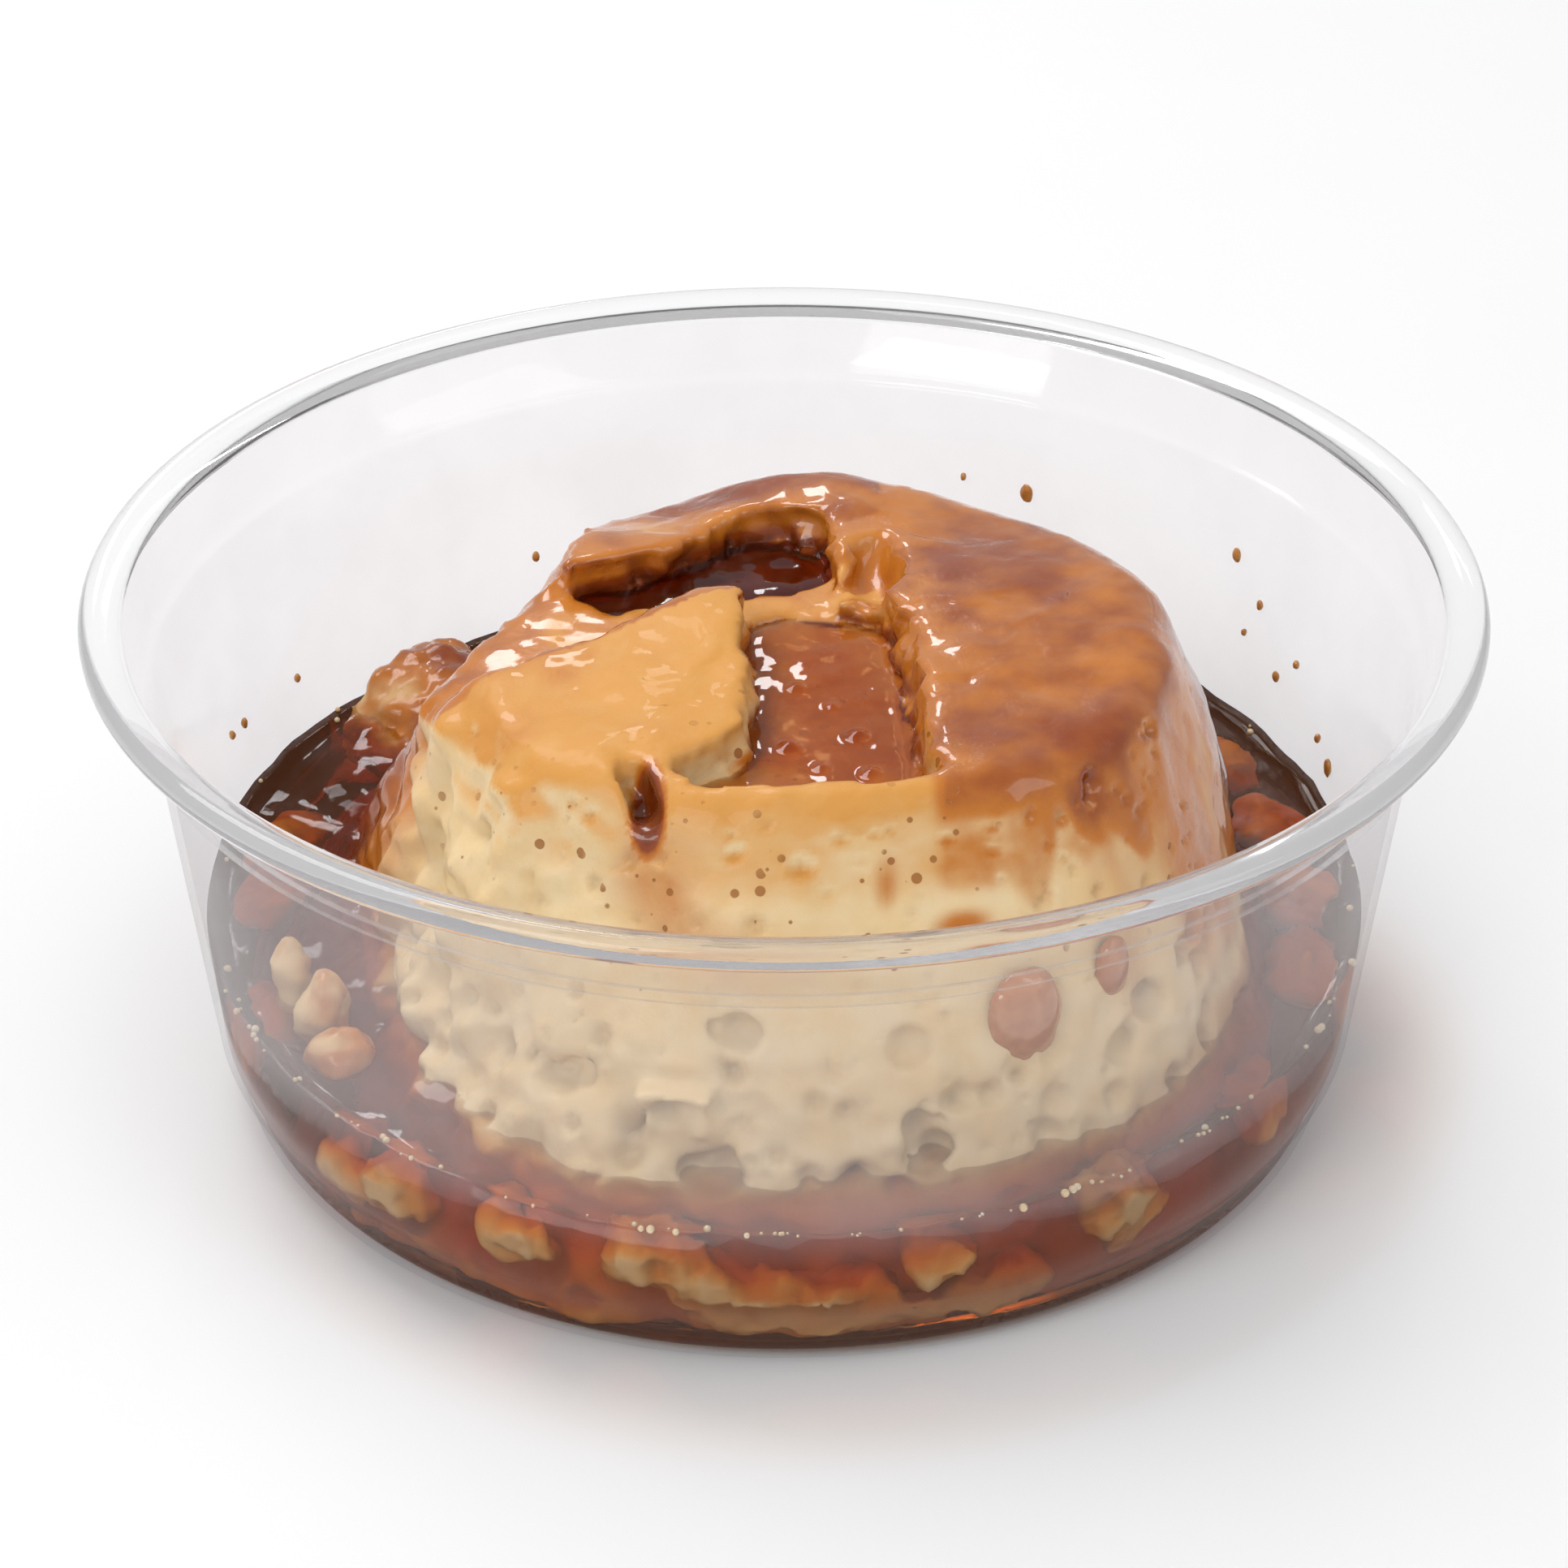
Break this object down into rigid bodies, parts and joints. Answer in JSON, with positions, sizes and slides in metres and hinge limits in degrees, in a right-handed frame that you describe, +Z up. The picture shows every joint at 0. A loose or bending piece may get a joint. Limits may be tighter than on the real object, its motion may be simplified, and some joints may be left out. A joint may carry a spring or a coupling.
{
  "type": "caramel pudding in a clear cup",
  "caption": "Turned-out caramel custard pudding, torn open on top, standing in its dark caramel sauce in a clear round plastic cup.",
  "frame": {"origin": "centre of the cup's foot, on the surface it stands on", "axes": "+Z up, +X to the right, -Y to the front where the pudding's pale face shows"},
  "size_m": [0.117, 0.117, 0.046],
  "materials": {
    "clear_cup": "clear, slightly hazy, glossy",
    "custard": "moist and porous",
    "stained_custard": "moist, soaked with caramel",
    "caramel": "wet, dark and glossy"
  },
  "bodies": {
    "root": {"cup": "clear_cup", "pudding": "custard", "caramel_sauce": "caramel", "broken_piece": "stained_custard", "curd_left": "stained_custard", "curd_middle": "stained_custard", "curd_front": "stained_custard", "channel_caramel": "caramel", "hollow_caramel": "caramel"}
  },
  "joints": []
}
